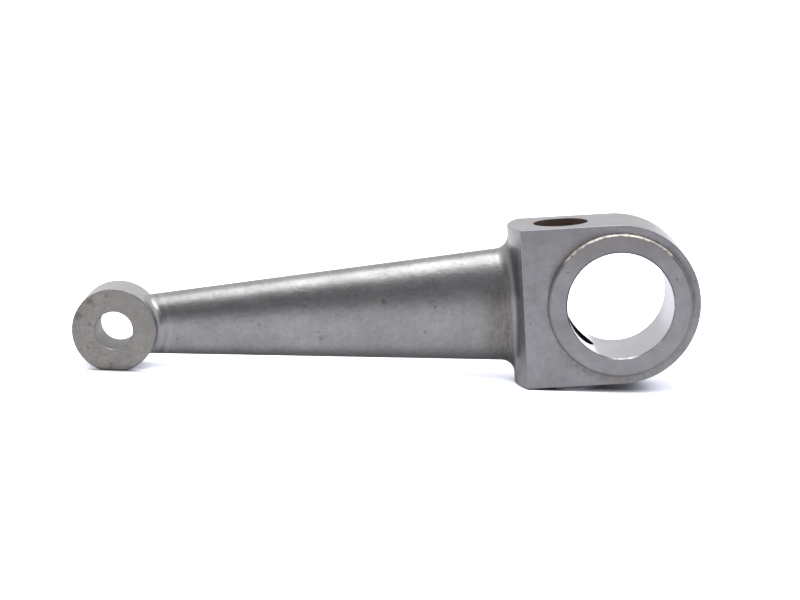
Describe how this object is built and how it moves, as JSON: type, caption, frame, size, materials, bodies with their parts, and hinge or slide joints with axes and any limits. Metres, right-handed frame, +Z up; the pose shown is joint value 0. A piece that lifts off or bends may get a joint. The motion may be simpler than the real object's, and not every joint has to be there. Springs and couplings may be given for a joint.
{
  "type": "clutch cross shaft lever",
  "caption": "One-piece steel lever: thick round-ended head with a large shaft bore crossed by a lock pin hole, oval tapering arm, and a small round eye at the far end.",
  "frame": {"origin": "centre of the shaft bore, halfway between its two raised rings", "axes": "+Y along the shaft bore, +X level towards the head's round end, +Z up, with the lever leaning 5.6 degrees as it lies on its eye and the head's lower corner"},
  "size_m": [0.1502, 0.0232, 0.0408],
  "materials": {
    "bare_steel": "bare satin steel, ground on the flat faces and dull on the forged arm, with light oxide specks"
  },
  "bodies": {
    "root": {"lever": "bare_steel"}
  },
  "joints": []
}
